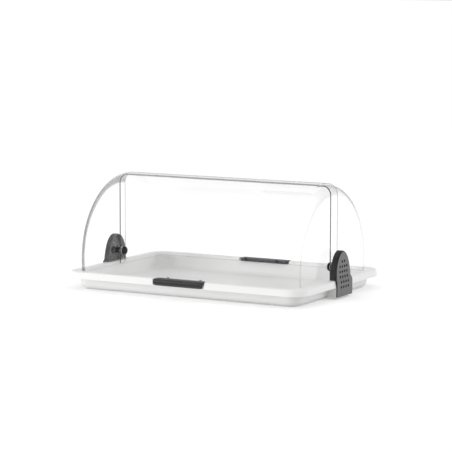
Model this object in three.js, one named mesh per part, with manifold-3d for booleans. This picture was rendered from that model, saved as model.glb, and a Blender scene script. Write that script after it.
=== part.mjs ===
// Roll top display case: a shallow moulded tray, two clear barrel-shaped covers that nest and
// turn on one shared pivot line, and the two end brackets, bushes and knobs that carry them.
// Units are millimetres, +Z is up and +X runs along the case. The origin is the middle of the
// tray's underside, so the case stands on z = 0. The front, with the outer cover, faces -Y.

import * as THREE from 'three';
import { mergeVertices } from 'three/addons/utils/BufferGeometryUtils.js';
import Module from 'manifold-3d';

const wasm = await Module();
wasm.setup();

// Clearance between parts that seat on each other, and how far a cut runs past a surface.
const gap = 0.3;
const overrun = 2;

// Tray: plan size of the rim, the wide bead along it, the skirt outside and the basin inside.
const trayLength = 584;
const trayWidth = 396;
const trayHeight = 40.4;
const trayWall = 3;
const rimCorner = 38;
const rimEdgeRound = 3.5;
const beadWidth = 18;
const beadRound = 1.5;
const notchDepth = 6.4;
const skirtDepth = 15.4;
const skirtFlare = 2.2;
const basinCorner = 28.5;
const basinTaper = 3.5;
const basinBottomRound = 13.5;

// Lug: the hollow box under each short end of the rim that the bracket hangs over.
const lugWidth = 73;
const lugLift = 4;
const lugWall = 2.5;
const lugSetback = 0.3;

// Pivot line of both covers, above the rim.
const pivotRise = 23.9;

// Covers: the outer one at the front, and the inner one a wall and a running gap smaller. The
// barrel is struck from the pivot so that its foot hangs inside the rim, clear of the bead.
const coverFootClearance = 2.5;
const coverEndClearance = 9;
const coverWall = 2.5;
const coverEdgeRound = 24;
const coverRunningGap = 1.5;
const frontCoverLap = 16;
const rearCoverLap = 9.7;
const heelClearance = 0.3;

// Handles: a bar lying in a notch of the rim, with a ribbed lip hanging in front of the skirt.
const handleLength = 127;
const handleEndClearance = 2.5;
const handleProud = 1.1;
const handleCrown = 1.6;
const handleLipGap = 0.8;
const handleLipThickness = 3;
const handleLipShort = 1.5;
const handleRidgeDepth = 1.1;
const handlePlanRound = 8;
const handleFaceRound = 5;
const handleRidges = 2;
const handleScrewSpacing = 80;
const handleScrewDrop = 1.9;

// Brackets: a hollow arch standing on the rim, with a plate that drops over the lug. Rises are
// above the rim, and the crown's is above the pivot line.
const bracketArchWidth = 71;
const bracketPlateWidth = 73;
const bracketCrownRise = 37.3;
const bracketSpringRise = 3.6;
const bracketProud = 0.5;
const bracketDepth = 13.5;
const bracketWaistOffset = 0.5;
const bracketWaistRise = 21.6;
const bracketKneeOffset = 1.5;
const bracketKneeRise = 5.6;
const bracketPlateThickness = 2.3;
const bracketPlateStartDrop = 4.4;
const bracketPlateBottom = 4.5;
const bracketPlateRound = 2;
const bracketWall = 2.5;

// Air holes in the bracket's face, on a square grid that fills the arch from a first row below the
// rim.
const airHoleRadius = 2.4;
const airHolePitch = 10.9;
const airHoleFirstDrop = 15.9;
const airHoleBlindDepth = 1.6;
const airHoleRows = [4, 4, 4, 4, 4, 2];

// Hub inside the bracket, with its threaded insert.
const hubRadius = 9;
const hubDepth = 6;
const insertRadius = 4.5;
const insertLength = 5.3;
const insertFloor = 0.2;

// Stud, shouldered bush, washers and knob of each pivot.
const studRadius = 3;
const studKnobDepth = 5;
const bushShoulderRadius = 6.5;
const bushJournalRadius = 4.8;
const washerRadius = 9;
const knobWasherThickness = 1;
const knobRadius = 9.7;
const knobThickness = 8.4;
const knobRimHeight = 2.6;
const knobEdgeRound = 0.8;

// Screws: pan heads, one size under the rim for the brackets and one size for the handles.
const bracketScrewRadius = 1.7;
const bracketScrewHeadRadius = 3.4;
const bracketScrewHeadHeight = 2.2;
const bracketScrewLength = 14;
const bracketScrewSpacing = 48;
const bracketBossRadius = 4;
const bracketBossHeight = 12.5;
const bracketScrewInset = 9;
const handleScrewRadius = 1.7;
const handleScrewHeadRadius = 3.4;
const handleScrewHeadHeight = 1.8;
const handleScrewLength = 12;
const screwSocketShare = 0.45;

// How finely round shapes are divided.
const barrelSteps = 84;
const edgeRoundSteps = 5;
const cornerSteps = 7;
const filletSteps = 4;
const beadSteps = 2;
const archSteps = 26;
const roundSteps = 24;
const screwSteps = 12;
const holeSteps = 10;
const ridgeSteps = 4;

// Sizes that follow from the ones above.
const halfLength = trayLength / 2;
const halfWidth = trayWidth / 2;
const notchFloor = trayHeight - notchDepth;
const skirtBottom = trayHeight - skirtDepth;
const channelInset = beadWidth - trayWall;
const basinFoot = beadWidth + basinTaper;
const pivotHeight = trayHeight + pivotRise;
const lugFace = halfLength + skirtFlare - lugSetback;
const bracketFoot = trayHeight + gap;
const bracketTop = pivotHeight + bracketCrownRise;
const bracketArchSpring = trayHeight + bracketSpringRise;
const bracketWaistHeight = trayHeight + bracketWaistRise;
const bracketKneeHeight = trayHeight + bracketKneeRise;
const bracketPlateStart = trayHeight - bracketPlateStartDrop;
const bracketOuterFace = halfLength + bracketProud;
const bracketInnerFace = bracketOuterFace - bracketDepth;
const bracketPlateBack = lugFace + lugSetback + gap;
const bracketPlateFace = bracketPlateBack + bracketPlateThickness;
const airHoleFirstRow = trayHeight - airHoleFirstDrop;
const coverHalfLength = bracketInnerFace - coverEndClearance;
const coverStep = coverWall + coverRunningGap;
const footDrop = pivotHeight - notchFloor - gap;
const coverRadius = Math.hypot(halfWidth - beadWidth - coverFootClearance, footDrop);
const notchHalfLength = handleLength / 2 + handleEndClearance;
const handleScrewHeight = trayHeight - handleScrewDrop;

// Turn a closed three.js geometry into a solid, dropping the zero-width triangles at its poles.
function solidOf(geometry) {
  const bare = geometry.clone();
  bare.deleteAttribute('normal');
  bare.deleteAttribute('uv');
  const merged = mergeVertices(bare);
  const index = merged.index.array;
  const triangles = [];
  for (let i = 0; i < index.length; i += 3) {
    const [a, b, c] = [index[i], index[i + 1], index[i + 2]];
    if (a !== b && b !== c && c !== a) triangles.push(a, b, c);
  }
  const mesh = new wasm.Mesh({
    numProp: 3,
    vertProperties: Float32Array.from(merged.attributes.position.array),
    triVerts: Uint32Array.from(triangles),
  });
  return new wasm.Manifold(mesh);
}

// Turn a solid back into a three.js geometry.
function geometryOf(solid) {
  const mesh = solid.getMesh();
  const geometry = new THREE.BufferGeometry();
  geometry.setAttribute('position', new THREE.BufferAttribute(Float32Array.from(mesh.vertProperties), 3));
  geometry.setIndex(new THREE.BufferAttribute(Uint32Array.from(mesh.triVerts), 1));
  geometry.computeVertexNormals();
  return geometry;
}

// A box between two opposite corners.
function box(low, high) {
  const size = new THREE.Vector3().subVectors(high, low);
  const middle = new THREE.Vector3().addVectors(low, high).multiplyScalar(1 / 2);
  const geometry = new THREE.BoxGeometry(size.x, size.y, size.z);
  geometry.translate(middle.x, middle.y, middle.z);
  return solidOf(geometry);
}

function point(x, y, z) {
  return new THREE.Vector3(x, y, z);
}

// A flat outline given in (y, z) and extruded along X from one place to another.
function prismAlongX(shape, from, to) {
  const geometry = new THREE.ExtrudeGeometry(shape, {
    depth: to - from,
    bevelEnabled: false,
    curveSegments: ridgeSteps,
  });
  const axes = new THREE.Matrix4().makeBasis(point(0, 1, 0), point(0, 0, 1), point(1, 0, 0));
  geometry.applyMatrix4(axes);
  geometry.translate(from, 0, 0);
  return solidOf(geometry);
}

// A flat outline given in (x, z) and extruded along Y from one place to another.
function prismAlongY(shape, from, to) {
  const geometry = new THREE.ExtrudeGeometry(shape, {
    depth: to - from,
    bevelEnabled: false,
    curveSegments: filletSteps,
  });
  const axes = new THREE.Matrix4().makeBasis(point(1, 0, 0), point(0, 0, 1), point(0, -1, 0));
  geometry.applyMatrix4(axes);
  geometry.translate(0, to, 0);
  return solidOf(geometry);
}

// A flat outline given in (x, y) and extruded up Z from one place to another.
function prismAlongZ(shape, from, to) {
  const geometry = new THREE.ExtrudeGeometry(shape, {
    depth: to - from,
    bevelEnabled: false,
    curveSegments: filletSteps,
  });
  geometry.translate(0, 0, from);
  return solidOf(geometry);
}

// A cylinder along X between two places.
function rodAlongX(radius, from, to, y, z, steps) {
  const geometry = new THREE.CylinderGeometry(radius, radius, to - from, steps);
  geometry.rotateZ(Math.PI / 2);
  geometry.translate((from + to) / 2, y, z);
  return solidOf(geometry);
}

// A cylinder up Z between two places.
function rodAlongZ(radius, from, to, x, y, steps) {
  const geometry = new THREE.CylinderGeometry(radius, radius, to - from, steps);
  geometry.rotateX(Math.PI / 2);
  geometry.translate(x, y, (from + to) / 2);
  return solidOf(geometry);
}

// A shape turned about the X axis from a profile of (distance along X, radius) points.
function turnedAboutX(profile, steps) {
  const points = profile.map(([x, r]) => new THREE.Vector2(r, x));
  const geometry = new THREE.LatheGeometry(points, steps);
  geometry.rotateZ(-Math.PI / 2);
  return geometry;
}

// A shape turned about the Z axis from a profile of (radius, height) points.
function turnedAboutZ(profile, steps) {
  const points = profile.map(([r, z]) => new THREE.Vector2(r, z));
  const geometry = new THREE.LatheGeometry(points, steps);
  geometry.rotateX(Math.PI / 2);
  return geometry;
}

// Points of a quarter circle or any arc, as (first, second) pairs.
function arc(firstCentre, secondCentre, radius, fromAngle, toAngle, steps) {
  const points = [];
  for (let i = 0; i <= steps; i += 1) {
    const angle = fromAngle + (toAngle - fromAngle) * (i / steps);
    points.push([firstCentre + radius * Math.cos(angle), secondCentre + radius * Math.sin(angle)]);
  }
  return points;
}

// One level ring of a rounded rectangle, anticlockwise seen from above.
function rectangleRing(halfX, halfY, corner, z) {
  const ring = [];
  const corners = [[1, 1], [-1, 1], [-1, -1], [1, -1]];
  corners.forEach(([sideX, sideY], quarter) => {
    const start = quarter * Math.PI / 2;
    const turns = arc(sideX * (halfX - corner), sideY * (halfY - corner), corner,
      start, start + Math.PI / 2, cornerSteps);
    for (const [x, y] of turns) ring.push(point(x, y, z));
  });
  return ring;
}

// Skin a stack of rings with the same number of points, and close both ends flat.
function loft(rings) {
  const count = rings[0].length;
  const positions = [];
  for (const ring of rings) for (const p of ring) positions.push(p.x, p.y, p.z);
  const index = [];
  for (let level = 0; level + 1 < rings.length; level += 1) {
    for (let i = 0; i < count; i += 1) {
      const a = level * count + i;
      const b = level * count + (i + 1) % count;
      index.push(a, b, b + count, a, b + count, a + count);
    }
  }
  const last = (rings.length - 1) * count;
  for (let i = 1; i + 1 < count; i += 1) {
    index.push(0, i + 1, i);
    index.push(last, last + i, last + i + 1);
  }
  const geometry = new THREE.BufferGeometry();
  geometry.setAttribute('position', new THREE.Float32BufferAttribute(positions, 3));
  geometry.setIndex(index);
  return solidOf(geometry);
}

// A rounded rectangle as a shape, from its four sides and its corner radius.
function roundedShape(left, bottom, right, top, corner) {
  const shape = new THREE.Shape();
  shape.moveTo(left + corner, bottom);
  shape.lineTo(right - corner, bottom);
  shape.absarc(right - corner, bottom + corner, corner, -Math.PI / 2, 0, false);
  shape.lineTo(right, top - corner);
  shape.absarc(right - corner, top - corner, corner, 0, Math.PI / 2, false);
  shape.lineTo(left + corner, top);
  shape.absarc(left + corner, top - corner, corner, Math.PI / 2, Math.PI, false);
  shape.lineTo(left, bottom + corner);
  shape.absarc(left + corner, bottom + corner, corner, Math.PI, Math.PI * 3 / 2, false);
  return shape;
}

// Materials as the object shows them.
const whitePlastic = new THREE.MeshStandardMaterial({ color: 0xf1f1f0, roughness: 0.35, metalness: 0 });
const clearPlastic = new THREE.MeshStandardMaterial({
  color: 0xf6f8f8,
  roughness: 0.05,
  metalness: 0,
  transparent: true,
  opacity: 0.25,
});
const greyPlastic = new THREE.MeshStandardMaterial({ color: 0x5b5b5c, roughness: 0.5, metalness: 0 });
const gripPlastic = new THREE.MeshStandardMaterial({ color: 0x323234, roughness: 0.45, metalness: 0 });
const knobPlastic = new THREE.MeshStandardMaterial({ color: 0x1d1d1f, roughness: 0.3, metalness: 0 });
const naturalNylon = new THREE.MeshStandardMaterial({ color: 0xdcdcd8, roughness: 0.5, metalness: 0 });
const steel = new THREE.MeshStandardMaterial({ color: 0xb9bbbd, roughness: 0.3, metalness: 1 });
const brass = new THREE.MeshStandardMaterial({ color: 0xc2a25a, roughness: 0.35, metalness: 1 });

function part(name, geometry, material) {
  const mesh = new THREE.Mesh(geometry, material);
  mesh.name = name;
  return mesh;
}

// A ring of the tray that keeps a distance inside the rim outline. The skirt and the outer edge
// have the rim's corners, and everything inside the bead has the basin's wider ones.
function rimRing([inset, z]) {
  return rectangleRing(halfLength - inset, halfWidth - inset, rimCorner - inset, z);
}

function basinRing([inset, z]) {
  const corner = basinCorner + beadWidth - inset;
  return rectangleRing(halfLength - inset, halfWidth - inset, corner, z);
}

// The inside of the basin from its floor up to the bead, also used to clear the lugs away.
function basinInside() {
  const round = basinBottomRound - trayWall;
  const floorFillet = arc(basinFoot + round, trayWall + round, round, -Math.PI / 2, -Math.PI, filletSteps);
  return [...floorFillet, [beadWidth, trayHeight - beadRound]];
}

// The moulded shell: underside, outer wall, rim channel, skirt, bead and basin.
function trayShell() {
  const quarter = Math.PI / 2;
  const round = basinBottomRound;
  const outside = [
    ...arc(basinFoot - trayWall + round, round, round, -quarter, -Math.PI, filletSteps),
    [channelInset, trayHeight - trayWall],
  ];
  const rim = [
    [trayWall, trayHeight - trayWall],
    [trayWall - skirtFlare, skirtBottom],
    [-skirtFlare, skirtBottom],
    ...arc(rimEdgeRound, trayHeight - rimEdgeRound, rimEdgeRound, Math.PI, quarter, filletSteps),
  ];
  const inside = [
    ...arc(beadWidth - beadRound, trayHeight - beadRound, beadRound, quarter, 0, beadSteps),
    ...basinInside().reverse().slice(1),
  ];
  return loft([
    ...outside.map(basinRing),
    ...rim.map(rimRing),
    ...inside.map(basinRing),
  ]);
}

// A notch across the rim bead for a handle, with a floor of its own over the rim's channel.
function notchFiller(side) {
  const inner = halfWidth - channelInset - trayWall / 2;
  const outer = halfWidth - trayWall / 2;
  const half = notchHalfLength + trayWall;
  return box(
    point(-half, side > 0 ? inner : -outer, notchFloor - trayWall),
    point(half, side > 0 ? outer : -inner, trayHeight - trayWall + overrun / 2),
  );
}

function notchCut(side) {
  const inner = halfWidth - beadWidth - overrun;
  const outer = halfWidth + skirtFlare + overrun;
  return box(
    point(-notchHalfLength, side > 0 ? inner : -outer, notchFloor),
    point(notchHalfLength, side > 0 ? outer : -inner, trayHeight + overrun),
  );
}

// A box at one short end, from its places along X counted outwards from the middle.
function endBox(side, inner, outer, half, bottom, top) {
  const low = side > 0 ? inner : -outer;
  const high = side > 0 ? outer : -inner;
  return box(point(low, -half, bottom), point(high, half, top));
}

// The hollow box under a short end, open downwards, before the basin is cleared out of it.
function lugShell(side) {
  const floorSide = halfLength - basinFoot - basinBottomRound;
  const half = lugWidth / 2;
  const block = endBox(side, floorSide, lugFace, half, lugLift, trayHeight - trayWall / 2);
  const hollow = endBox(side, floorSide - overrun, lugFace - lugWall, half - lugWall,
    lugLift - overrun, trayHeight);
  return block.subtract(hollow);
}

function makeTray() {
  const hollow = loft([
    ...basinInside().map(basinRing),
    basinRing([beadWidth, trayHeight + overrun]),
  ]);
  const underSkirt = loft([
    rimRing([lugSetback - skirtFlare, 0]),
    rimRing([lugSetback - skirtFlare, skirtBottom]),
    rimRing([trayWall / 2, trayHeight - trayWall / 2]),
  ]);
  let lugs = lugShell(1).add(lugShell(-1));
  lugs = lugs.intersect(underSkirt).subtract(hollow);
  let solid = trayShell().add(lugs);
  solid = solid.add(notchFiller(1)).add(notchFiller(-1));
  solid = solid.subtract(notchCut(1)).subtract(notchCut(-1));
  const screwX = halfLength - bracketScrewInset;
  for (const sideX of [1, -1]) {
    for (const sideY of [1, -1]) {
      const hole = rodAlongZ(bracketScrewRadius + gap, trayHeight - trayWall - overrun,
        trayHeight + overrun, sideX * screwX, sideY * bracketScrewSpacing / 2, screwSteps);
      solid = solid.subtract(hole);
    }
  }
  return part('tray', geometryOf(solid), whitePlastic);
}

// Half the drum of a cover, from the middle of its end wall over the rounded edge to the barrel.
function drum(length, radius, edgeRound) {
  const half = length / 2;
  const quarter = Math.PI / 2;
  const near = arc(-half + edgeRound, radius - edgeRound, edgeRound, Math.PI, quarter, edgeRoundSteps);
  const far = arc(half - edgeRound, radius - edgeRound, edgeRound, quarter, 0, edgeRoundSteps);
  return solidOf(turnedAboutX([[-half, 0], ...near, ...far, [half, 0]], barrelSteps));
}

// A clear cover about the pivot line, open below and towards +Y. A nest step of 1 makes the
// inner cover. The heel beside the pivot is cut round so that it swings no lower than the foot.
function makeCover(name, nestStep, lap) {
  const shrink = nestStep * coverStep;
  const radius = coverRadius - shrink;
  const half = coverHalfLength - shrink;
  const round = coverEdgeRound - shrink;
  const outer = drum(2 * half, radius, round);
  const inner = drum(2 * (half - coverWall), radius - coverWall, round - coverWall);
  const reach = coverRadius + overrun;
  const ends = coverHalfLength + overrun;
  let solid = outer.subtract(inner);
  solid = solid.subtract(box(point(-ends, lap, -reach), point(ends, reach, reach)));
  solid = solid.subtract(box(point(-ends, -reach, -reach), point(ends, reach, -footDrop)));
  const heelCorner = box(point(-ends, 0, -footDrop - overrun), point(ends, lap + overrun, 0));
  const heelRound = rodAlongX(footDrop - heelClearance, -ends - overrun, ends + overrun, 0, 0, barrelSteps);
  solid = solid.subtract(heelCorner.subtract(heelRound));
  solid = solid.subtract(rodAlongX(bushJournalRadius + gap, -ends, ends, 0, 0, roundSteps));
  for (const place of handleScrewPlaces()) {
    const hole = radialRod(handleScrewRadius + gap, radius - coverWall - overrun, radius + overrun, place);
    solid = solid.subtract(hole);
  }
  return part(name, geometryOf(solid), clearPlastic);
}

// Where a handle's screws sit along X, and how far below the pivot they pass the cover's wall.
function handleScrewPlaces() {
  return [-handleScrewSpacing / 2, handleScrewSpacing / 2];
}

function handleScrewAngle() {
  return Math.asin((pivotHeight - handleScrewHeight) / coverRadius);
}

// Lay a shape made along +Z on the radius that leaves the pivot line towards the handle.
function layOnHandleRadius(geometry, place) {
  geometry.rotateX(Math.PI / 2 + handleScrewAngle());
  geometry.translate(place, 0, 0);
  return geometry;
}

function radialRod(radius, from, to, place) {
  const geometry = new THREE.CylinderGeometry(radius, radius, to - from, screwSteps);
  geometry.rotateX(Math.PI / 2);
  geometry.translate(0, 0, (from + to) / 2);
  return solidOf(layOnHandleRadius(geometry, place));
}

// The handle's section in (outward, height above the pivot): crowned top, ridged face, lip and
// the flat underside that lies over the notch floor.
function handleSection() {
  const back = coverRadius - 2 * coverStep - overrun;
  const top = trayHeight + handleProud - pivotHeight;
  const shoulder = top - handleCrown;
  const underside = notchFloor + gap - pivotHeight;
  const lipIn = halfWidth + skirtFlare + handleLipGap;
  const face = lipIn + handleLipThickness - handleRidgeDepth;
  const lipBottom = skirtBottom + handleLipShort - pivotHeight;
  const ridgeHeight = (shoulder - lipBottom) / handleRidges;
  const shape = new THREE.Shape();
  shape.moveTo(back, underside);
  shape.lineTo(lipIn, underside);
  shape.lineTo(lipIn, lipBottom);
  shape.lineTo(face, lipBottom);
  for (let ridge = 0; ridge < handleRidges; ridge += 1) {
    const from = lipBottom + ridge * ridgeHeight;
    shape.quadraticCurveTo(face + 2 * handleRidgeDepth, from + ridgeHeight / 2, face, from + ridgeHeight);
  }
  shape.quadraticCurveTo((back + face) / 2, top + handleCrown, back, shoulder);
  return shape;
}

// A handle in its cover's frame, fitted to the barrel's outside.
function makeHandle(name, nestStep) {
  const half = handleLength / 2;
  const barrel = coverRadius - nestStep * coverStep;
  const lipOut = halfWidth + skirtFlare + handleLipGap + handleLipThickness;
  const top = trayHeight + handleProud - pivotHeight;
  const lipBottom = skirtBottom + handleLipShort - pivotHeight;
  const outline = handleSection().getPoints(ridgeSteps).map((p) => new THREE.Vector2(-p.x, p.y));
  let solid = prismAlongX(new THREE.Shape(outline), -half, half);
  const plan = roundedShape(-half, -lipOut, half, -barrel + 2 * coverEdgeRound, handlePlanRound);
  const face = roundedShape(-half, lipBottom, half, top, handleFaceRound);
  solid = solid.intersect(prismAlongZ(plan, lipBottom - overrun, top + overrun));
  solid = solid.intersect(prismAlongY(face, -lipOut - overrun, 0));
  solid = solid.subtract(rodAlongX(barrel + gap, -half - overrun, half + overrun, 0, 0, barrelSteps));
  for (const place of handleScrewPlaces()) {
    const tip = barrel - coverWall + handleScrewLength + gap;
    solid = solid.subtract(radialRod(handleScrewRadius + gap, barrel - coverWall, tip, place));
  }
  return part(name, geometryOf(solid), gripPlastic);
}

// A pan-head screw with its head's bearing face at height zero, pointing up +Z.
function screwProfile(radius, headRadius, headHeight, length) {
  const socketRadius = headRadius * screwSocketShare;
  const socketDepth = headHeight * screwSocketShare;
  return [
    [0, -headHeight + socketDepth],
    [socketRadius, -headHeight + socketDepth],
    [socketRadius, -headHeight],
    [headRadius - headHeight / 2, -headHeight],
    [headRadius, -headHeight / 2],
    [headRadius, 0],
    [radius, 0],
    [radius, length - radius],
    [0, length],
  ];
}

// One of the screws that hold a handle, driven outwards from inside the cover.
function makeHandleScrew(name, nestStep, place) {
  const seat = coverRadius - nestStep * coverStep - coverWall - gap;
  const profile = screwProfile(handleScrewRadius, handleScrewHeadRadius, handleScrewHeadHeight,
    handleScrewLength);
  const geometry = turnedAboutZ(profile, screwSteps);
  geometry.translate(0, 0, seat);
  return part(name, geometryOf(solidOf(layOnHandleRadius(geometry, place))), steel);
}

// The bracket's outline seen along X: straight sides and an arched top.
function archShape(halfSpan, top, bottom) {
  const shape = new THREE.Shape();
  shape.moveTo(-halfSpan, bottom);
  shape.lineTo(halfSpan, bottom);
  shape.lineTo(halfSpan, bracketArchSpring);
  for (let i = 1; i < archSteps; i += 1) {
    const angle = Math.PI * (i / archSteps);
    const rise = (top - bracketArchSpring) * Math.sin(angle);
    shape.lineTo(halfSpan * Math.cos(angle), bracketArchSpring + rise);
  }
  shape.lineTo(-halfSpan, bracketArchSpring);
  return shape;
}

// The bracket's section seen along Y: its foot on the rim, a back that follows the rim's rounded
// edge and flared skirt at a clearance, and the plate over the lug.
function bracketSection() {
  const shape = new THREE.Shape();
  shape.moveTo(bracketInnerFace, bracketFoot);
  shape.lineTo(halfLength - rimEdgeRound, bracketFoot);
  shape.absarc(halfLength - rimEdgeRound, trayHeight - rimEdgeRound, rimEdgeRound + gap,
    Math.PI / 2, 0, true);
  shape.lineTo(bracketPlateBack, skirtBottom);
  shape.lineTo(bracketPlateBack, bracketPlateBottom);
  shape.lineTo(bracketPlateFace, bracketPlateBottom);
  shape.lineTo(bracketPlateFace, bracketPlateStart);
  shape.lineTo(bracketOuterFace + bracketKneeOffset, bracketKneeHeight);
  shape.lineTo(bracketOuterFace + bracketWaistOffset, bracketWaistHeight);
  shape.lineTo(bracketOuterFace, bracketTop + overrun);
  shape.lineTo(bracketInnerFace, bracketTop + overrun);
  return shape;
}

// Air holes: rows of the pattern from the lowest up. A hole that opens into the hollow arch goes
// through the face, and one over the rim, the lug or the hub is a blind dimple.
function airHoles() {
  let holes = null;
  const hollowBottom = bracketFoot + bracketWall;
  airHoleRows.forEach((count, row) => {
    const z = airHoleFirstRow + row * airHolePitch;
    const face = z < bracketKneeHeight ? bracketPlateFace : bracketOuterFace;
    for (let i = 0; i < count; i += 1) {
      const y = (i - (count - 1) / 2) * airHolePitch;
      const fromHub = Math.hypot(y, z - pivotHeight) - airHoleRadius;
      const open = z - airHoleRadius > hollowBottom && fromHub > hubRadius;
      const from = open ? bracketOuterFace - bracketWall - overrun : face - airHoleBlindDepth;
      const hole = rodAlongX(airHoleRadius, from, bracketPlateFace + overrun, y, z, holeSteps);
      holes = holes === null ? hole : holes.add(hole);
    }
  });
  return holes;
}

// One bracket for the +X end, in a frame whose origin is over the tray's middle at z = 0.
function bracketSolid() {
  const halfArch = bracketArchWidth / 2;
  const halfPlate = bracketPlateWidth / 2;
  const archOutline = prismAlongX(archShape(halfArch, bracketTop, bracketPlateStart),
    bracketInnerFace - overrun, bracketPlateFace + overrun);
  const plateOutline = prismAlongX(
    roundedShape(-halfPlate, bracketPlateBottom, halfPlate, bracketKneeHeight, bracketPlateRound),
    halfLength, bracketPlateFace + overrun);
  const section = prismAlongY(bracketSection(), -halfPlate - overrun, halfPlate + overrun);
  const hollowOutline = prismAlongX(
    archShape(halfArch - bracketWall, bracketTop - bracketWall, bracketFoot + bracketWall),
    bracketInnerFace - overrun, bracketOuterFace - bracketWall);
  let solid = section.intersect(archOutline.add(plateOutline));
  solid = solid.subtract(hollowOutline).subtract(airHoles());
  const back = bracketOuterFace - bracketWall;
  const hub = rodAlongX(hubRadius, back - hubDepth, back + bracketWall / 2, 0, pivotHeight, roundSteps);
  const pocket = rodAlongX(insertRadius + gap, back - hubDepth - overrun, back - insertFloor,
    0, pivotHeight, roundSteps);
  solid = solid.add(hub).subtract(pocket);
  const screwX = halfLength - bracketScrewInset;
  for (const sideY of [1, -1]) {
    const y = sideY * bracketScrewSpacing / 2;
    const boss = rodAlongZ(bracketBossRadius, bracketFoot + bracketWall / 2,
      bracketFoot + bracketBossHeight, screwX, y, screwSteps);
    const pilot = rodAlongZ(bracketScrewRadius + gap, bracketFoot - overrun,
      trayHeight - trayWall + bracketScrewLength, screwX, y, screwSteps);
    solid = solid.add(boss).subtract(pilot);
  }
  return solid;
}

// A screw under the rim that reaches up into a boss of the bracket.
function bracketScrewGeometry() {
  const profile = screwProfile(bracketScrewRadius, bracketScrewHeadRadius, bracketScrewHeadHeight,
    bracketScrewLength);
  return geometryOf(solidOf(turnedAboutZ(profile, screwSteps)));
}

// Places along X of the pivot stack, from the hub inwards to the knob.
const hubFace = bracketOuterFace - bracketWall - hubDepth;
const rearCoverHalf = coverHalfLength - coverStep;
const rearWallInside = rearCoverHalf - coverWall;
const knobWasherInside = rearWallInside - gap - knobWasherThickness;
const knobSeat = knobWasherInside - gap;
const studEnd = hubFace + insertLength;
const studStart = knobSeat - studKnobDepth;

// A plain ring about the X axis.
function ringGeometry(from, to, bore, outer) {
  return turnedAboutX([[from, outer], [to, outer], [to, bore], [from, bore], [from, outer]], roundSteps);
}

// Threaded insert pressed into the hub.
function insertGeometry() {
  return ringGeometry(hubFace + gap / 2, hubFace + insertLength, studRadius + gap, insertRadius);
}

// Bush: a shoulder that spans from the hub to the outer cover, and a journal both covers turn on.
function bushGeometry() {
  const bore = studRadius + gap;
  const shoulder = coverHalfLength + gap;
  const hubEnd = hubFace - gap;
  return turnedAboutX([
    [knobWasherInside, bushJournalRadius],
    [shoulder, bushJournalRadius],
    [shoulder, bushShoulderRadius],
    [hubEnd, bushShoulderRadius],
    [hubEnd, bore],
    [knobWasherInside, bore],
    [knobWasherInside, bushJournalRadius],
  ], roundSteps);
}

function studGeometry() {
  const chamfer = studRadius / 4;
  return turnedAboutX([
    [studStart, 0],
    [studStart, studRadius - chamfer],
    [studStart + chamfer, studRadius],
    [studEnd - chamfer, studRadius],
    [studEnd, studRadius - chamfer],
    [studEnd, 0],
  ], roundSteps);
}

function washerGeometry(from, to) {
  return ringGeometry(from, to, bushJournalRadius + gap, washerRadius);
}

// Domed knob with a blind bore for the stud.
function knobGeometry() {
  const crown = knobSeat - knobThickness;
  const rimEnd = knobSeat - knobRimHeight;
  const bore = studRadius + gap;
  const boreEnd = studStart - gap;
  const dome = [];
  const domeSteps = edgeRoundSteps;
  for (let i = 1; i <= domeSteps; i += 1) {
    const angle = (Math.PI / 2) * (i / domeSteps);
    dome.push([rimEnd + (crown - rimEnd) * Math.sin(angle), knobRadius * Math.cos(angle)]);
  }
  dome[dome.length - 1][1] = 0;
  return turnedAboutX([
    ...dome.reverse(),
    [rimEnd, knobRadius],
    [knobSeat - knobEdgeRound, knobRadius],
    [knobSeat, knobRadius - knobEdgeRound],
    [knobSeat, bore],
    [boreEnd, bore],
    [boreEnd, 0],
  ], roundSteps);
}

// Everything at one end that stays with the tray. The other end is the same, turned half round.
function makeEnd(side) {
  const end = new THREE.Group();
  const onTray = new THREE.Group();
  onTray.add(part(`${side}_bracket`, geometryOf(bracketSolid()), greyPlastic));
  for (const [row, sideY] of [['near', -1], ['far', 1]]) {
    const screw = part(`${side}_bracket_screw_${row}`, bracketScrewGeometry(), steel);
    const seat = trayHeight - trayWall - gap;
    screw.position.set(halfLength - bracketScrewInset, sideY * bracketScrewSpacing / 2, seat);
    onTray.add(screw);
  }
  const onPivot = new THREE.Group();
  onPivot.position.set(0, 0, pivotHeight);
  onPivot.add(part(`${side}_threaded_insert`, insertGeometry(), brass));
  onPivot.add(part(`${side}_pivot_bush`, bushGeometry(), naturalNylon));
  onPivot.add(part(`${side}_pivot_stud`, studGeometry(), steel));
  onPivot.add(part(`${side}_cover_washer`, washerGeometry(rearCoverHalf + gap,
    coverHalfLength - coverWall - gap), naturalNylon));
  onPivot.add(part(`${side}_knob_washer`, washerGeometry(knobWasherInside, rearWallInside - gap),
    naturalNylon));
  onPivot.add(part(`${side}_knob`, knobGeometry(), knobPlastic));
  end.add(onTray, onPivot);
  return end;
}

// A cover with its handle, in a group whose origin is the middle of the pivot line.
function makeCoverGroup(side, nestStep, lap) {
  const group = new THREE.Group();
  group.position.set(0, 0, pivotHeight);
  group.add(makeCover(`${side}_cover`, nestStep, lap));
  group.add(makeHandle(`${side}_handle`, nestStep));
  handleScrewPlaces().forEach((place, i) => {
    group.add(makeHandleScrew(`${side}_handle_screw_${i + 1}`, nestStep, place));
  });
  return group;
}

const displayCase = new THREE.Group();
displayCase.add(makeTray());

const frontCover = makeCoverGroup('front', 0, frontCoverLap);
const rearCover = makeCoverGroup('rear', 1, rearCoverLap);
rearCover.rotation.z = Math.PI;
displayCase.add(frontCover, rearCover);

const rightEnd = makeEnd('right');
const leftEnd = makeEnd('left');
leftEnd.rotation.z = Math.PI;
displayCase.add(rightEnd, leftEnd);

export default displayCase;
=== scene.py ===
# Roll top display case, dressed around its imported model. Lengths are in metres, +Z is up, +X runs
# along the case and the front, with the outer cover, faces -Y.

import math

import bmesh
import bpy
from mathutils import Matrix, Quaternion, Vector


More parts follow.
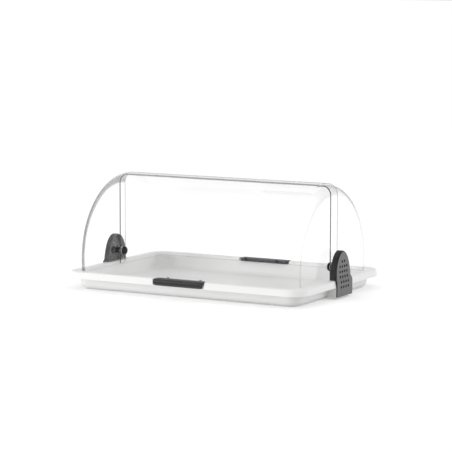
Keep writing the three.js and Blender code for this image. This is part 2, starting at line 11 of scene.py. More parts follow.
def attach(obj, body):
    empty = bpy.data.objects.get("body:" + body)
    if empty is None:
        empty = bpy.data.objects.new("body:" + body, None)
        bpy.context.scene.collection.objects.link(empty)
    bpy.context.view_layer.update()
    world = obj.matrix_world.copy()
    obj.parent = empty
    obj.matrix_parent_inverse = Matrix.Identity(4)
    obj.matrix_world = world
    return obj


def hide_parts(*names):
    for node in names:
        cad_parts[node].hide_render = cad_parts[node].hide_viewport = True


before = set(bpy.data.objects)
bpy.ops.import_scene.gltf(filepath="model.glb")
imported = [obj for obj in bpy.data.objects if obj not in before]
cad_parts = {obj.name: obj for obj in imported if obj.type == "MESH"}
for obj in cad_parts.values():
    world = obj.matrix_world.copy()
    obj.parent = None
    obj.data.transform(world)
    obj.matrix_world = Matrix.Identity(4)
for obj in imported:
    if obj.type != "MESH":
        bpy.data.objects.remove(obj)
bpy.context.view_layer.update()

# Camera: a long lens in front of the case and to its right, raised by only seven degrees, so that
# both covers are seen almost level and the rim is a narrow band.
camera_azimuth = math.radians(29.19)
camera_elevation = math.radians(7.10)
camera_roll = math.radians(0.125)
camera_distance = 4.760
camera_aim = Vector((0.0039, 0.0, 0.1367))
camera_sensor = 36.0
camera_lens = 171.76
camera_view_end = 200.0
camera = bpy.data.objects.new("camera", bpy.data.cameras.new("camera"))
bpy.context.scene.collection.objects.link(camera)
bpy.context.scene.camera = camera
camera.data.sensor_width = camera_sensor
camera.data.lens = camera_lens
camera.data.clip_end = camera_view_end
away = Vector((
    math.sin(camera_azimuth) * math.cos(camera_elevation),
    -math.cos(camera_azimuth) * math.cos(camera_elevation),
    math.sin(camera_elevation),
))
camera.location = camera_aim + away * camera_distance
turned = away.to_track_quat("Z", "Y") @ Quaternion((0.0, 0.0, 1.0), camera_roll)
camera.rotation_euler = turned.to_euler()
bpy.context.scene.view_settings.view_transform = "Standard"

# World: even light from all round, as in a white photo tent. The camera sees plain white, also
# through the clear covers. Faces that shine mirror a white backdrop behind, a dim room in front,
# and the floor's white sheet fading into the room over a little height.
tent_light = 1.06
room_level = 0.25
backdrop_way = (-0.49, 0.87, 0.0)
backdrop_edge_low = 0.45
backdrop_edge_high = 0.85
sheet_fade = 0.2


def larger_of(tree, first, second):
    """The larger of two values, as the output of a new node."""
    larger = tree.nodes.new("ShaderNodeMath")
    larger.operation = "MAXIMUM"
    tree.links.new(first, larger.inputs[0])
    tree.links.new(second, larger.inputs[1])
    return larger.outputs[0]


world = bpy.data.worlds.new("photo_tent")
bpy.context.scene.world = world
world.use_nodes = True
tree = world.node_tree
tree.nodes.clear()
path = tree.nodes.new("ShaderNodeLightPath")
direction = tree.nodes.new("ShaderNodeTexCoord")
towards = tree.nodes.new("ShaderNodeVectorMath")
towards.operation = "DOT_PRODUCT"
towards.inputs[1].default_value = backdrop_way
tree.links.new(direction.outputs["Generated"], towards.inputs[0])
backdrop = tree.nodes.new("ShaderNodeMapRange")
backdrop.inputs["From Min"].default_value = backdrop_edge_low
backdrop.inputs["From Max"].default_value = backdrop_edge_high
backdrop.inputs["To Min"].default_value = room_level
backdrop.inputs["To Max"].default_value = 1.0
tree.links.new(towards.outputs["Value"], backdrop.inputs["Value"])
parts = tree.nodes.new("ShaderNodeSeparateXYZ")
tree.links.new(direction.outputs["Generated"], parts.inputs[0])
above_sheet = tree.nodes.new("ShaderNodeMapRange")
above_sheet.inputs["From Max"].default_value = sheet_fade
above_sheet.inputs["To Min"].default_value = 1.0
above_sheet.inputs["To Max"].default_value = room_level
tree.links.new(parts.outputs["Z"], above_sheet.inputs["Value"])
mirrored = larger_of(tree, backdrop.outputs["Result"], above_sheet.outputs["Result"])
looked_at = larger_of(tree, path.outputs["Is Camera Ray"], path.outputs["Is Transmission Ray"])
shown = tree.nodes.new("ShaderNodeBackground")
tree.links.new(larger_of(tree, mirrored, looked_at), shown.inputs["Strength"])
lit = tree.nodes.new("ShaderNodeBackground")
lit.inputs["Strength"].default_value = tent_light
mix = tree.nodes.new("ShaderNodeMixShader")
tree.links.new(larger_of(tree, looked_at, path.outputs["Is Glossy Ray"]), mix.inputs[0])
tree.links.new(lit.outputs[0], mix.inputs[1])
tree.links.new(shown.outputs[0], mix.inputs[2])
output = tree.nodes.new("ShaderNodeOutputWorld")
tree.links.new(mix.outputs[0], output.inputs["Surface"])

# Key lamp: a broad, low soft box in front of the case and to its left, which lights upright faces
# more than level ones. Polished faces don't mirror it.
key_width = 2.0
key_height = 1.0
key_power = 54.0
key_place = (-1.7, -2.7, 0.25)
lamp_aim = Vector((0.0, 0.0, 0.05))


def soft_box(name, width, height, power, place):
    """Hang a rectangular lamp that looks at the case and isn't mirrored in it."""
    lamp = bpy.data.objects.new(name, bpy.data.lights.new(name, "AREA"))
    bpy.context.scene.collection.objects.link(lamp)
    lamp.data.shape = "RECTANGLE"
    lamp.data.size = width
    lamp.data.size_y = height
    lamp.data.energy = power
    lamp.location = place
    lamp.rotation_euler = (lamp.location - lamp_aim).to_track_quat("Z", "Y").to_euler()
    lamp.visible_glossy = False
    lamp.visible_transmission = False


soft_box("key_lamp", key_width, key_height, key_power, key_place)

# Side lamp: a smaller soft box to the right and behind, for the faces at that end.
side_lamp_size = 1.2
side_lamp_power = 20.0
side_lamp_place = (2.6, 1.7, 0.6)
soft_box("side_lamp", side_lamp_size, side_lamp_size, side_lamp_power, side_lamp_place)

# Floor: a seamless white sheet. Its own light, added only where it is seen, also in a mirror image
# or through a cover, lifts it to white and leaves the soft shadow under the case.
floor_reach = 30.0
floor_white = 0.8
floor_glow = 0.35
floor_drop = 0.0002
floor_mesh = bmesh.new()
bmesh.ops.create_grid(floor_mesh, x_segments=2, y_segments=2, size=floor_reach)
bmesh.ops.translate(floor_mesh, verts=floor_mesh.verts, vec=(0.0, 0.0, -floor_drop))
floor = bpy.data.objects.new("floor", bpy.data.meshes.new("floor"))
floor_mesh.to_mesh(floor.data)
floor_mesh.free()
bpy.context.scene.collection.objects.link(floor)
sheet = bpy.data.materials.new("floor_sheet")
sheet.use_nodes = True
tree = sheet.node_tree
shader = tree.nodes["Principled BSDF"]
shader.inputs["Base Color"].default_value = (floor_white, floor_white, floor_white, 1.0)
shader.inputs["Roughness"].default_value = 0.9
shader.inputs["Specular IOR Level"].default_value = 0.0
shader.inputs["Emission Color"].default_value = (1.0, 1.0, 1.0, 1.0)
path = tree.nodes.new("ShaderNodeLightPath")
looked_at = larger_of(tree, path.outputs["Is Camera Ray"], path.outputs["Is Transmission Ray"])
share = tree.nodes.new("ShaderNodeMath")
share.operation = "MULTIPLY"
share.inputs[1].default_value = floor_glow
tree.links.new(larger_of(tree, looked_at, path.outputs["Is Glossy Ray"]), share.inputs[0])
tree.links.new(share.outputs[0], shader.inputs["Emission Strength"])
floor.data.materials.append(sheet)

# Tray: one thin moulding in glossy white plastic. A basin hangs inside a wide rim, a flared skirt
# runs round the outside, and each long side has a notch for the handle of its cover.
rim_length = 0.584
rim_width = 0.396
rim_height = 0.0404
tray_wall = 0.003
rim_corner = 0.038
rim_edge_round = 0.0035
rim_edge_steps = 6
bead_width = 0.018
bead_edge_round = 0.0015
bead_edge_steps = 4
skirt_depth = 0.0154
skirt_flare = 0.0022
skirt_edge_round = 0.0008
skirt_edge_steps = 3
channel_round = 0.0012
channel_steps = 2
basin_corner = 0.0285
basin_taper = 0.0035
basin_bottom_round = 0.0135
basin_bottom_steps = 7
corner_steps = 18
notch_depth = 0.0064
notch_near_end = 0.066
notch_far_end = 0.0615
notch_draft = 0.0005
level_slack = 1e-5
weld_distance = 1e-7
skirt_bottom = rim_height - skirt_depth
channel_top = rim_height - tray_wall
notch_floor = rim_height - notch_depth


def rim_plate(bm, inset, height, corner):
    """A level face a distance inside the rim's outline, with round corners."""
    x = rim_length / 2 - inset
    y = rim_width / 2 - inset
    places = ((x, y), (-x, y), (-x, -y), (x, -y))
    bm.faces.new([bm.verts.new((*place, height)) for place in places])
    bmesh.ops.bevel(bm, geom=bm.verts[:], offset=corner, offset_type="OFFSET",
        segments=corner_steps, profile=0.5, affect="VERTICES", material=-1)
    return bm.faces[:][0]


def draw_on(bm, face, before, after):
    """Extrude a round-cornered face from one (inset, height, corner) to the next."""
    drawn = bmesh.ops.extrude_face_region(bm, geom=[face])["geom"]
    # The first face stays as the basin's underside. Any later one would close the wall inside.
    if len(bm.faces) > len(face.edges) + 2:
        bmesh.ops.delete(bm, geom=[face], context="FACES_ONLY")
    face = [part for part in drawn if isinstance(part, bmesh.types.BMFace)][0]
    for vert in face.verts:
        moved = []
        for reach, place in ((rim_length / 2, vert.co.x), (rim_width / 2, vert.co.y)):
            share = (abs(place) - (reach - before[0] - before[2])) / before[2]
            out = reach - after[0] - after[2] + share * after[2]
            moved.append(math.copysign(out, place))
        vert.co = Vector((*moved, after[1]))
    return face


def round_ring(bm, ring, radius, steps, lean):
    """Round the bend that a ring of edges makes between two walls, lean steeper than square."""
    offset = radius / math.tan((math.pi / 2 + lean) / 2)
    bmesh.ops.bevel(bm, geom=ring, offset=offset, offset_type="OFFSET", segments=steps,
        profile=0.5, affect="EDGES", material=-1, clamp_overlap=True)


def cut_across(bm, place, normal):
    """Run a loop of edges across the whole mesh, where a plane meets it."""
    bmesh.ops.bisect_plane(bm, geom=bm.verts[:] + bm.edges[:] + bm.faces[:],
        dist=weld_distance, plane_co=place, plane_no=normal)


def make_tray_shell():
    """Ring by ring up the basin's outside, round the channel, skirt and rim, and down inside."""
    bm = bmesh.new()
    wall_slope = basin_taper / (channel_top - basin_bottom_round)
    wall_lean = math.atan(wall_slope)
    flare_slope = skirt_flare / (skirt_depth - rim_edge_round)
    channel_inset = bead_width - tray_wall
    foot_inset = channel_inset + wall_slope * channel_top
    floor_inset = bead_width + wall_slope * channel_top
    bead_inset = flare_slope * rim_edge_round
    basin_reach = basin_corner + bead_width
    bends = (
        (foot_inset, 0.0, basin_reach - foot_inset),
        (channel_inset, channel_top, basin_reach - channel_inset),
        (tray_wall, channel_top, rim_corner - tray_wall),
        (tray_wall - skirt_flare, skirt_bottom, rim_corner - tray_wall + skirt_flare),
        (-skirt_flare, skirt_bottom, rim_corner + skirt_flare),
        (bead_inset, rim_height, rim_corner - bead_inset),
        (bead_width, rim_height, basin_corner),
        (floor_inset, tray_wall, basin_reach - floor_inset),
    )
    face = rim_plate(bm, *bends[0])
    rings = [face.edges[:]]
    for before, after in zip(bends, bends[1:]):
        face = draw_on(bm, face, before, after)
        rings.append(face.edges[:])
    bmesh.ops.recalc_face_normals(bm, faces=bm.faces)
    for ring, radius, steps, lean in (
        (rings[0], basin_bottom_round, basin_bottom_steps, wall_lean),
        (rings[7], basin_bottom_round - tray_wall, basin_bottom_steps, wall_lean),
        (rings[1], channel_round, channel_steps, 0.0),
        (rings[2], channel_round, channel_steps, 0.0),
        (rings[3], skirt_edge_round, skirt_edge_steps, 0.0),
        (rings[4], skirt_edge_round, skirt_edge_steps, 0.0),
        (rings[5], rim_edge_round, rim_edge_steps, 0.0),
        (rings[6], bead_edge_round, bead_edge_steps, 0.0),
    ):
        round_ring(bm, ring, radius, steps, lean)
    return bm


def press_notches(bm):
    """Lower the rim between two cuts on each long side, its top and the channel under it."""
    for end in (notch_near_end, notch_far_end):
        for place in (end, end - notch_draft, notch_draft - end, -end):
            cut_across(bm, (place, 0.0, 0.0), (1.0, 0.0, 0.0))
    for vert in bm.verts:
        inset = rim_width / 2 - abs(vert.co.y)
        along = vert.co.x if vert.co.y < 0 else -vert.co.x
        end = notch_far_end if along > 0 else notch_near_end
        if inset > bead_width + basin_taper or abs(along) > end - notch_draft / 2:
            continue
        in_channel = tray_wall / 2 < inset < bead_width - tray_wall / 2
        under = in_channel and vert.co.z < channel_top + level_slack
        vert.co.z = min(vert.co.z, notch_floor - tray_wall if under else notch_floor)


tray_shell = make_tray_shell()
press_notches(tray_shell)

# Lugs: a hollow box moulded under each short end of the rim, open below, which carries the
# bracket's plate. Its three walls run up into the skirt, the rim and the basin's wall.
lug_width = 0.073
lug_lift = 0.004
lug_wall = 0.0025
lug_setback = 0.0003
lug_face = rim_length / 2 + skirt_flare - lug_setback


def make_lug():
    """Draw the right-hand lug's wall upwards level by level, and give it its thickness."""
    bm = bmesh.new()
    basin_side = rim_length / 2 - bead_width
    half_width = lug_width / 2
    levels = (
        (lug_lift, basin_side - basin_taper * 2, lug_face),
        (basin_bottom_round, basin_side - basin_taper / 2, lug_face),
        (skirt_bottom, basin_side, lug_face),
        (rim_height - tray_wall / 2, basin_side + tray_wall / 2, rim_length / 2 - tray_wall / 2),
    )
    height, near, far = levels[0]
    halfway = (near + far) / 2
    places = ((near, -half_width), (far, -half_width), (far, half_width), (near, half_width))
    corners = [bm.verts.new((x, y, height)) for x, y in places]
    line = [bm.edges.new(pair) for pair in zip(corners, corners[1:])]
    walls = []
    for height, near, far in levels[1:]:
        drawn = bmesh.ops.extrude_edge_only(bm, edges=line)["geom"]
        risen = {part for part in drawn if isinstance(part, bmesh.types.BMVert)}
        for vert in risen:
            vert.co = Vector((near if vert.co.x < halfway else far, vert.co.y, height))
        edges = [part for part in drawn if isinstance(part, bmesh.types.BMEdge)]
        line = [edge for edge in edges if risen.issuperset(edge.verts)]
        walls += [part for part in drawn if isinstance(part, bmesh.types.BMFace)]
    bmesh.ops.recalc_face_normals(bm, faces=walls)
    if walls[1].normal.x < 0:
        bmesh.ops.reverse_faces(bm, faces=walls)
    bmesh.ops.solidify(bm, geom=walls, thickness=lug_wall)
    return bm


def turned_half_round(bm):
    """Swing a right-hand piece about the middle of the case to make the left-hand one."""
    half_turn = Matrix.Rotation(math.pi, 3, "Z")
    bmesh.ops.rotate(bm, verts=bm.verts, cent=(0.0, 0.0, 0.0), matrix=half_turn)
    return bm


def add_mesh(bm, other):
    """Put a finished bmesh into another."""
    parcel = bpy.data.meshes.new("parcel")
    other.to_mesh(parcel)
    other.free()
    bm.from_mesh(parcel)
    bpy.data.meshes.remove(parcel)


add_mesh(tray_shell, make_lug())
add_mesh(tray_shell, turned_half_round(make_lug()))


def add_piece(name, bm, materials, body, replaced, sharp=40.0):
    """Make a piece of a finished bmesh, shaded smooth but for edges over the sharp angle."""
    mesh = bpy.data.meshes.new(name)
    bm.to_mesh(mesh)
    bm.free()
    for material in materials:
        mesh.materials.append(material)
    mesh.shade_smooth()
    mesh.set_sharp_from_angle(angle=math.radians(sharp))
    piece = bpy.data.objects.new(name, mesh)
    bpy.context.scene.collection.objects.link(piece)
    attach(piece, body)
    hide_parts(*replaced)
    return piece


def round_edges(piece, width, angle=40.0, segments=2):
    """Give a piece's sharp edges the small radius that a mould leaves."""
    bevel = piece.modifiers.new("edge_round", "BEVEL")
    bevel.width = width
    bevel.segments = segments
    bevel.limit_method = "ANGLE"
    bevel.angle_limit = math.radians(angle)
    weighted = piece.modifiers.new("flat_faces", "WEIGHTED_NORMAL")
    weighted.keep_sharp = True


moulded_skin = bpy.data.node_groups.new("moulded_skin", "ShaderNodeTree")
for name, kind, value in (
    ("Colour", "NodeSocketColor", (0.8, 0.8, 0.8, 1.0)),
    ("Mottle", "NodeSocketFloat", 0.02),
    ("Roughness", "NodeSocketFloat", 0.4),
    ("Roughness Spread", "NodeSocketFloat", 0.06),
    ("Cloud Scale", "NodeSocketFloat", 14.0),
    ("Grain Scale", "NodeSocketFloat", 900.0),
    ("Grain Height", "NodeSocketFloat", 0.00002),
):
    socket = moulded_skin.interface.new_socket(name=name, in_out="INPUT", socket_type=kind)
    socket.default_value = value
moulded_skin.interface.new_socket(name="Colour", in_out="OUTPUT", socket_type="NodeSocketColor")
moulded_skin.interface.new_socket(name="Roughness", in_out="OUTPUT", socket_type="NodeSocketFloat")
moulded_skin.interface.new_socket(name="Normal", in_out="OUTPUT", socket_type="NodeSocketVector")
nodes = moulded_skin.nodes
links = moulded_skin.links
given = nodes.new("NodeGroupInput")
result = nodes.new("NodeGroupOutput")
place = nodes.new("ShaderNodeTexCoord")
clouds = nodes.new("ShaderNodeTexNoise")
clouds.inputs["Detail"].default_value = 3.0
links.new(place.outputs["Object"], clouds.inputs["Vector"])
links.new(given.outputs["Cloud Scale"], clouds.inputs["Scale"])
centred = nodes.new("ShaderNodeMath")
centred.operation = "SUBTRACT"
centred.inputs[1].default_value = 0.5
links.new(clouds.outputs["Fac"], centred.inputs[0])
shift = nodes.new("ShaderNodeMath")
shift.operation = "MULTIPLY_ADD"
shift.inputs[2].default_value = 1.0
links.new(centred.outputs[0], shift.inputs[0])
links.new(given.outputs["Mottle"], shift.inputs[1])
tint = nodes.new("ShaderNodeVectorMath")
tint.operation = "SCALE"
links.new(given.outputs["Colour"], tint.inputs[0])
links.new(shift.outputs[0], tint.inputs["Scale"])
links.new(tint.outputs[0], result.inputs["Colour"])
spread = nodes.new("ShaderNodeMath")
spread.operation = "MULTIPLY_ADD"
links.new(centred.outputs[0], spread.inputs[0])
links.new(given.outputs["Roughness Spread"], spread.inputs[1])
links.new(given.outputs["Roughness"], spread.inputs[2])
links.new(spread.outputs[0], result.inputs["Roughness"])
grain = nodes.new("ShaderNodeTexNoise")
grain.inputs["Detail"].default_value = 2.0
links.new(place.outputs["Object"], grain.inputs["Vector"])
links.new(given.outputs["Grain Scale"], grain.inputs["Scale"])
bump = nodes.new("ShaderNodeBump")
links.new(grain.outputs["Fac"], bump.inputs["Height"])
links.new(given.outputs["Grain Height"], bump.inputs["Distance"])
links.new(bump.outputs["Normal"], result.inputs["Normal"])


def moulded_material(name, colour, mottle, roughness, spread, clouds, grain, height):
    """A finish whose colour, gloss and grain come from the moulded skin group."""
    material = bpy.data.materials.new(name)
    material.use_nodes = True
    tree = material.node_tree
    skin = tree.nodes.new("ShaderNodeGroup")
    skin.node_tree = moulded_skin
    skin.inputs["Colour"].default_value = (*colour, 1.0)
    skin.inputs["Mottle"].default_value = mottle
    skin.inputs["Roughness"].default_value = roughness
    skin.inputs["Roughness Spread"].default_value = spread
    skin.inputs["Cloud Scale"].default_value = clouds
    skin.inputs["Grain Scale"].default_value = grain
    skin.inputs["Grain Height"].default_value = height
    shader = tree.nodes["Principled BSDF"]
    tree.links.new(skin.outputs["Colour"], shader.inputs["Base Color"])
    tree.links.new(skin.outputs["Roughness"], shader.inputs["Roughness"])
    tree.links.new(skin.outputs["Normal"], shader.inputs["Normal"])
    return material


tray_edge_round = 0.0004
tray_plastic = moulded_material("tray_plastic", (0.84, 0.84, 0.835), mottle=0.03,
    roughness=0.3, spread=0.08, clouds=9.0, grain=260.0, height=0.00001)
tray = add_piece("tray_moulding", tray_shell, [tray_plastic], "base", ["tray"],
    sharp=32.0)
round_edges(tray, tray_edge_round)

# Clear covers: two thin thermoformed barrels with closed ends, the rear one a step smaller so that
# each rolls past the other on the pivot line. Their trimmed edges are left satin and carry painted
# shade. The plastic carries painted shade too: it is greyer where a wall is seen on the slant, and
# more so in the bends at the ends.
pivot_height = 0.0643
cover_foot_half_width = 0.1775
cover_foot_drop = 0.030
cover_half_length = 0.270
cover_wall = 0.0025
cover_step = 0.004
cover_edge_round = 0.024
cover_heel_radius = 0.0297
cover_heel_cuts = (75.0, 62.0, 49.0, 36.0)
cover_radius = math.hypot(cover_foot_half_width, cover_foot_drop)
pivot_hole_radius = 0.0051
cover_turns = 240
cover_round_steps = 18
spin_weld_distance = 1e-6
front_lap = 0.016
rear_lap = 0.0097
bend_along_low = cover_half_length - cover_edge_round * 0.8
bend_along_high = cover_half_length - cover_edge_round / 3
bend_out_low = cover_radius - cover_step - cover_edge_round
bend_out_high = cover_radius - cover_edge_round * 0.9
clear_index = 1.22
light_let_through = 0.98

# Mask for painted shade: 1 in the bend at one end of a cover, where its wall rounds into the end
# wall, 0 elsewhere.
painted_bend_shade_mask = bpy.data.node_groups.new("painted_bend_shade_mask", "ShaderNodeTree")
painted_bend_shade_mask.interface.new_socket(name="End", in_out="INPUT", socket_type="NodeSocketFloat")
painted_bend_shade_mask.interface.new_socket(name="Mask", in_out="OUTPUT", socket_type="NodeSocketFloat")
nodes = painted_bend_shade_mask.nodes
links = painted_bend_shade_mask.links
given = nodes.new("NodeGroupInput")
result = nodes.new("NodeGroupOutput")
place = nodes.new("ShaderNodeTexCoord")
parts = nodes.new("ShaderNodeSeparateXYZ")
links.new(place.outputs["Object"], parts.inputs[0])
along = nodes.new("ShaderNodeMath")
along.operation = "MULTIPLY"
links.new(parts.outputs["X"], along.inputs[0])
links.new(given.outputs["End"], along.inputs[1])
near_end = nodes.new("ShaderNodeMapRange")
near_end.interpolation_type = "SMOOTHSTEP"
near_end.inputs["From Min"].default_value = bend_along_low
near_end.inputs["From Max"].default_value = bend_along_high
links.new(along.outputs[0], near_end.inputs["Value"])
above_pivot = nodes.new("ShaderNodeVectorMath")
above_pivot.operation = "SUBTRACT"
above_pivot.inputs[1].default_value = (0.0, 0.0, pivot_height)
links.new(place.outputs["Object"], above_pivot.inputs[0])
across_pivot = nodes.new("ShaderNodeVectorMath")
across_pivot.operation = "MULTIPLY"
across_pivot.inputs[1].default_value = (0.0, 1.0, 1.0)
links.new(above_pivot.outputs[0], across_pivot.inputs[0])
reach = nodes.new("ShaderNodeVectorMath")
reach.operation = "LENGTH"
links.new(across_pivot.outputs[0], reach.inputs[0])
near_barrel = nodes.new("ShaderNodeMapRange")
near_barrel.interpolation_type = "SMOOTHSTEP"
near_barrel.inputs["From Min"].default_value = bend_out_low
near_barrel.inputs["From Max"].default_value = bend_out_high
links.new(reach.outputs["Value"], near_barrel.inputs["Value"])
both = nodes.new("ShaderNodeMath")
both.operation = "MULTIPLY"
links.new(near_end.outputs["Result"], both.inputs[0])
links.new(near_barrel.outputs["Result"], both.inputs[1])
links.new(both.outputs[0], result.inputs["Mask"])


def painted_slant_shade(tree, slant, clear_until, darkest_at, grey):
    """Painted shade: white that turns grey as a wall is seen more on the slant, and clears at its
    very edge.
    """
    ramp = tree.nodes.new("ShaderNodeValToRGB")
    elements = ramp.color_ramp.elements
    elements[0].position = clear_until
    elements[0].color = (1.0, 1.0, 1.0, 1.0)
    elements.new(darkest_at).color = (grey, grey, grey, 1.0)
    tree.links.new(slant.outputs["Facing"], ramp.inputs["Fac"])
    return ramp.outputs["Color"]


def clear_material(name, left_bend_shade, right_bend_shade):
    """Clear plastic that lets light through to what it covers, with painted shade that greys it on
    the slant and more in its bends.

    Its index is set low, because a thin wall with the plastic's own index mirrors too much here.
    """
    material = bpy.data.materials.new(name)
    material.use_nodes = True
    tree = material.node_tree
    shader = tree.nodes["Principled BSDF"]
    shader.inputs["Roughness"].default_value = 0.0
    shader.inputs["IOR"].default_value = clear_index
    shader.inputs["Transmission Weight"].default_value = 1.0
    slant = tree.nodes.new("ShaderNodeLayerWeight")
    slant.inputs["Blend"].default_value = 0.5
    shade = painted_slant_shade(tree, slant, *plain_wall_painted_shade)
    for end, bend in ((-1.0, left_bend_shade), (1.0, right_bend_shade)):
        corner = tree.nodes.new("ShaderNodeGroup")
        corner.node_tree = painted_bend_shade_mask
        corner.inputs["End"].default_value = end
        tint = tree.nodes.new("ShaderNodeMix")
        tint.data_type = "RGBA"
        tree.links.new(corner.outputs["Mask"], tint.inputs["Factor"])
        tree.links.new(shade, tint.inputs["A"])
        tree.links.new(painted_slant_shade(tree, slant, *bend), tint.inputs["B"])
        shade = tint.outputs["Result"]
    tree.links.new(shade, shader.inputs["Base Color"])
    open_to_light = tree.nodes.new("ShaderNodeBsdfTransparent")
    open_to_light.inputs["Color"].default_value = (light_let_through,) * 3 + (1.0,)
    path = tree.nodes.new("ShaderNodeLightPath")
    light_passes = larger_of(tree, path.outputs["Is Shadow Ray"], path.outputs["Is Diffuse Ray"])
    mix = tree.nodes.new("ShaderNodeMixShader")
    tree.links.new(light_passes, mix.inputs[0])
    tree.links.new(shader.outputs[0], mix.inputs[1])
    tree.links.new(open_to_light.outputs[0], mix.inputs[2])
    tree.links.new(mix.outputs[0], tree.nodes["Material Output"].inputs["Surface"])
    return material


# Painted shade of the covers, as (clear until, darkest at, grey) on the slant: for plain walls, and
# strong, fair and faint for the bends at the ends.
plain_wall_painted_shade = (0.82, 0.91, 0.55)
strong_bend_painted_shade = (0.17, 0.37, 0.22)
fair_bend_painted_shade = (0.5, 0.75, 0.5)
faint_bend_painted_shade = (0.3, 0.48, 0.75)
front_clear = clear_material("front_clear_plastic", strong_bend_painted_shade, faint_bend_painted_shade)
rear_clear = clear_material("rear_clear_plastic", plain_wall_painted_shade, fair_bend_painted_shade)
# The covers' satin cut edges carry painted shade: dark grey on the front cover, near black on the
# rear.
front_edge_painted_shade = moulded_material("front_trimmed_edge_painted_shade", (0.4, 0.41, 0.41), mottle=0.3,
    roughness=0.45, spread=0.2, clouds=120.0, grain=3000.0, height=0.00001)
rear_edge_painted_shade = moulded_material("rear_trimmed_edge_painted_shade", (0.045, 0.047, 0.047), mottle=0.3,
    roughness=0.45, spread=0.2, clouds=120.0, grain=3000.0, height=0.00001)


def trim(bm, point, normal):
    """Cut the cover off at a plane and close its wall there with a satin edge, which carries
    painted shade.
    """
    cut = bmesh.ops.bisect_plane(bm, geom=bm.verts[:] + bm.edges[:] + bm.faces[:],
        dist=weld_distance, plane_co=point, plane_no=normal, clear_outer=True)["geom_cut"]
    edges = [part for part in cut if isinstance(part, bmesh.types.BMEdge)]
    filled = bmesh.ops.triangle_fill(bm, edges=edges, use_beauty=True)["geom"]
    for part in filled:
        if isinstance(part, bmesh.types.BMFace):
            part.material_index = 1


def make_cover(name, body, node, step, lap, facing, finishes):
    """Spin the section of one cover's wall about the pivot line, and trim its foot and lap."""
    half = cover_half_length - step
    radius = cover_radius - step
    skins = []
    for inset in (0.0, cover_wall):
        fillet = cover_edge_round - step - inset
        skin = [(-half + inset, r) for r in (pivot_hole_radius, cover_heel_radius, radius / 2)]
        for i in range(cover_round_steps + 1):
            turn = math.radians(90.0) * i / cover_round_steps
            skin.append((inset - half + fillet - fillet * math.cos(turn),
                radius - inset - fillet + fillet * math.sin(turn)))
        skins.append(skin + [(-x, r) for x, r in reversed(skin)])
    bm = bmesh.new()
    chain = [bm.verts.new((x, 0.0, r)) for x, r in skins[0] + skins[1][::-1]]
    for first, second in zip(chain, chain[1:] + chain[:1]):
        bm.edges.new((first, second))
    bmesh.ops.spin(bm, geom=bm.verts[:] + bm.edges[:], cent=(0.0, 0.0, 0.0), axis=(1.0, 0.0, 0.0),
        angle=math.radians(360.0), steps=cover_turns, use_merge=True)
    bmesh.ops.remove_doubles(bm, verts=bm.verts, dist=spin_weld_distance)
    bmesh.ops.recalc_face_normals(bm, faces=bm.faces)
    trim(bm, (0.0, 0.0, -cover_foot_drop), (0.0, 0.0, -1.0))
    trim(bm, (0.0, lap, 0.0), (0.0, 1.0, 0.0))
    for angle in cover_heel_cuts:
        way = Vector((0.0, math.cos(math.radians(angle)), -math.sin(math.radians(angle))))
        trim(bm, way * cover_heel_radius, way)
    bmesh.ops.recalc_face_normals(bm, faces=bm.faces)
    if facing < 0:
        turned_half_round(bm)
    bmesh.ops.translate(bm, verts=bm.verts, vec=(0.0, 0.0, pivot_height))
    cover = add_piece(name, bm, finishes, body, [node], sharp=35.0)
    flat_faces = cover.modifiers.new("flat_faces", "WEIGHTED_NORMAL")
    flat_faces.keep_sharp = True


make_cover("front_cover_barrel", "front_lid", "front_cover", step=0.0, lap=front_lap, facing=1,
    finishes=[front_clear, front_edge_painted_shade])
make_cover("rear_cover_barrel", "rear_lid", "rear_cover", step=cover_step, lap=rear_lap, facing=-1,
    finishes=[rear_clear, rear_edge_painted_shade])

# Handles: dark moulded grips with two ridges along the face, screwed to each cover from inside.
# Each lies in its notch of the rim, with a lip that hangs in front of the skirt.
grip_length = 0.127
grip_proud = 0.0011
grip_crown = 0.0016
grip_lip_gap = 0.0008
grip_lip_thickness = 0.003
grip_lip_short = 0.0015
grip_ridges = 2
grip_ridge_depth = 0.002
grip_ridge_steps = 8
grip_crown_steps = 10
grip_far_end_short = 0.004
grip_end_round = 0.009
grip_end_steps = 9
grip_end_lip_share = 0.25
grip_end_back_pull = 0.8
grip_end_squeeze = 0.003
grip_edge_round = 0.0003
seat_gap = 0.0003


def curve_points(start, bend, end, steps):
    """Points on a quadratic curve after its start, as (outward, height) pairs."""
    points = []
    for i in range(1, steps + 1):
        t = i / steps
        shares = (1 - t) ** 2, 2 * t * (1 - t), t * t
        points.append(tuple(
            shares[0] * a + shares[1] * b + shares[2] * c for a, b, c in zip(start, bend, end)))
    return points


def grip_section(barrel):
    """The grip's outline in (outward, height above the pivot): underside, lip, face and top."""
    top = rim_height + grip_proud - pivot_height
    shoulder = top - grip_crown
    underside = notch_floor + seat_gap - pivot_height
    lip_in = rim_width / 2 + skirt_flare + grip_lip_gap
    face = lip_in + grip_lip_thickness - grip_ridge_depth
    crest = face + 2 * grip_ridge_depth
    lip_bottom = skirt_bottom + grip_lip_short - pivot_height
    rise = (shoulder - lip_bottom) / grip_ridges
    back = barrel + seat_gap
    foot = math.sqrt(back ** 2 - underside ** 2)
    rear = math.sqrt(back ** 2 - shoulder ** 2)
    points = [(foot, underside), (lip_in, underside), (lip_in, lip_bottom), (face, lip_bottom)]
    for ridge in range(grip_ridges):
        low = lip_bottom + ridge * rise
        points += curve_points((face, low), (crest, low + rise / 2), (face, low + rise),
            grip_ridge_steps)
    points += curve_points((face, shoulder), ((rear + face) / 2, top + grip_crown),
        (rear, shoulder), grip_crown_steps)
    return points, back, lip_in


